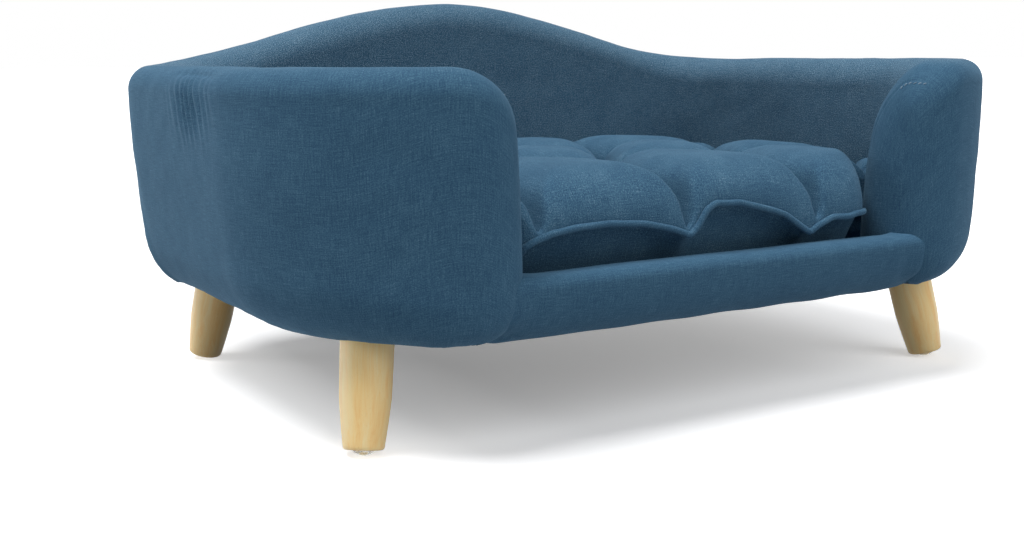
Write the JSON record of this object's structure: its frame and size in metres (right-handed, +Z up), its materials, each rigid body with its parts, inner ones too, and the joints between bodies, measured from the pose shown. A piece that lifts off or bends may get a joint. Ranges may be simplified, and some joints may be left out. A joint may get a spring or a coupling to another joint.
{
  "type": "dog sofa bed",
  "caption": "Low upholstered dog sofa bed with a wrap-round padded wall, a humped back, a loose tufted cushion and splayed turned wooden legs.",
  "frame": {"origin": "on the floor, at the middle of the bed's width and depth", "axes": "+X to the right seen from the front, +Y from the front to the back, +Z up"},
  "size_m": [0.7688, 0.5527, 0.3556],
  "materials": {
    "upholstery_fabric": "woven slub linen look, matt",
    "cushion_fabric": "woven slub linen look, matt",
    "cushion_piping": "self fabric piping, matt",
    "tie_thread": "twisted thread",
    "deck_cloth": "plain weave, matt",
    "dust_cover": "non-woven cambric, matt",
    "staple_steel": "galvanised",
    "screw_steel": "yellow zinc plated",
    "foam": "open cell foam",
    "plywood": "sanded, unfinished",
    "pine": "planed, unfinished",
    "mount_wood": "turned, unfinished",
    "brass_insert": "machined",
    "washer_steel": "zinc plated",
    "bolt_steel": "zinc plated",
    "glide_plastic": "clear moulded plastic",
    "leg_wood": "turned rubberwood, clear satin lacquer"
  },
  "bodies": {
    "root": {"arm_board_left": "plywood", "arm_board_right": "plywood", "arm_end_padding_left": "foam", "arm_end_padding_right": "foam", "arm_front_board_left": "plywood", "arm_front_board_right": "plywood", "arm_inner_padding_left": "foam", "arm_inner_padding_right": "foam", "arm_outer_padding_left": "foam", "arm_outer_padding_right": "foam", "back_board": "plywood", "back_inner_padding": "foam", "back_outer_padding": "foam", "base_batten_back": "pine", "base_batten_front": "pine", "base_batten_left": "pine", "base_batten_middle": "pine", "base_batten_right": "pine", "corner_board_left": "plywood", "corner_board_right": "plywood", "cover_staples": "staple_steel", "deck_cloth": "deck_cloth", "dust_cover": "dust_cover", "frame_screws": "screw_steel", "inner_cover": "upholstery_fabric", "leg_inserts": "brass_insert", "leg_mount_back_left": "mount_wood", "leg_mount_back_right": "mount_wood", "leg_mount_front_left": "mount_wood", "leg_mount_front_right": "mount_wood", "outer_cover": "upholstery_fabric", "rail_board": "plywood", "rail_cover": "upholstery_fabric", "rail_padding": "foam", "seat_deck": "plywood"},
    "cushion": {"cushion": "cushion_fabric", "cushion_piping": "cushion_piping", "tuft_ties": "tie_thread"},
    "washer_back_right": {"leg_washer_back_right": "washer_steel"},
    "screwed_leg_back_right": {"leg_back_right": "leg_wood", "leg_bolt_back_right": "bolt_steel", "leg_glide_back_right": "glide_plastic"},
    "washer_back_left": {"leg_washer_back_left": "washer_steel"},
    "screwed_leg_back_left": {"leg_back_left": "leg_wood", "leg_bolt_back_left": "bolt_steel", "leg_glide_back_left": "glide_plastic"},
    "washer_front_right": {"leg_washer_front_right": "washer_steel"},
    "screwed_leg_front_right": {"leg_front_right": "leg_wood", "leg_bolt_front_right": "bolt_steel", "leg_glide_front_right": "glide_plastic"},
    "washer_front_left": {"leg_washer_front_left": "washer_steel"},
    "screwed_leg_front_left": {"leg_front_left": "leg_wood", "leg_bolt_front_left": "bolt_steel", "leg_glide_front_left": "glide_plastic"}
  },
  "joints": [
    {"name": "cushion_lift", "type": "slide", "parent": "root", "child": "cushion", "axis": [0, 0, 1], "range_m": [0, 0.25]},
    {"name": "leg_travel_back_right", "type": "slide", "parent": "root", "child": "washer_back_right", "axis": [0.154, 0.1927, -0.9691], "range_m": [0, 0.0075]},
    {"name": "leg_screw_back_right", "type": "hinge", "parent": "washer_back_right", "child": "screwed_leg_back_right", "pos_m": [0.2927, 0.1766, 0.09], "axis": [0.154, 0.1927, -0.9691], "range_deg": [0, 2160]},
    {"name": "leg_travel_back_left", "type": "slide", "parent": "root", "child": "washer_back_left", "axis": [-0.154, 0.1927, -0.9691], "range_m": [0, 0.0075]},
    {"name": "leg_screw_back_left", "type": "hinge", "parent": "washer_back_left", "child": "screwed_leg_back_left", "pos_m": [-0.2927, 0.1766, 0.09], "axis": [-0.154, 0.1927, -0.9691], "range_deg": [0, 2160]},
    {"name": "leg_travel_front_right", "type": "slide", "parent": "root", "child": "washer_front_right", "axis": [0.154, -0.1927, -0.9691], "range_m": [0, 0.0075]},
    {"name": "leg_screw_front_right", "type": "hinge", "parent": "washer_front_right", "child": "screwed_leg_front_right", "pos_m": [0.2927, -0.1766, 0.09], "axis": [0.154, -0.1927, -0.9691], "range_deg": [0, 2160]},
    {"name": "leg_travel_front_left", "type": "slide", "parent": "root", "child": "washer_front_left", "axis": [-0.154, -0.1927, -0.9691], "range_m": [0, 0.0075]},
    {"name": "leg_screw_front_left", "type": "hinge", "parent": "washer_front_left", "child": "screwed_leg_front_left", "pos_m": [-0.2927, -0.1766, 0.09], "axis": [-0.154, -0.1927, -0.9691], "range_deg": [0, 2160]}
  ],
  "couplings": [
    {"joint": "leg_travel_back_right", "follows": "leg_screw_back_right", "m_per_rad": 0.00019894},
    {"joint": "leg_travel_back_left", "follows": "leg_screw_back_left", "m_per_rad": 0.00019894},
    {"joint": "leg_travel_front_right", "follows": "leg_screw_front_right", "m_per_rad": 0.00019894},
    {"joint": "leg_travel_front_left", "follows": "leg_screw_front_left", "m_per_rad": 0.00019894}
  ]
}
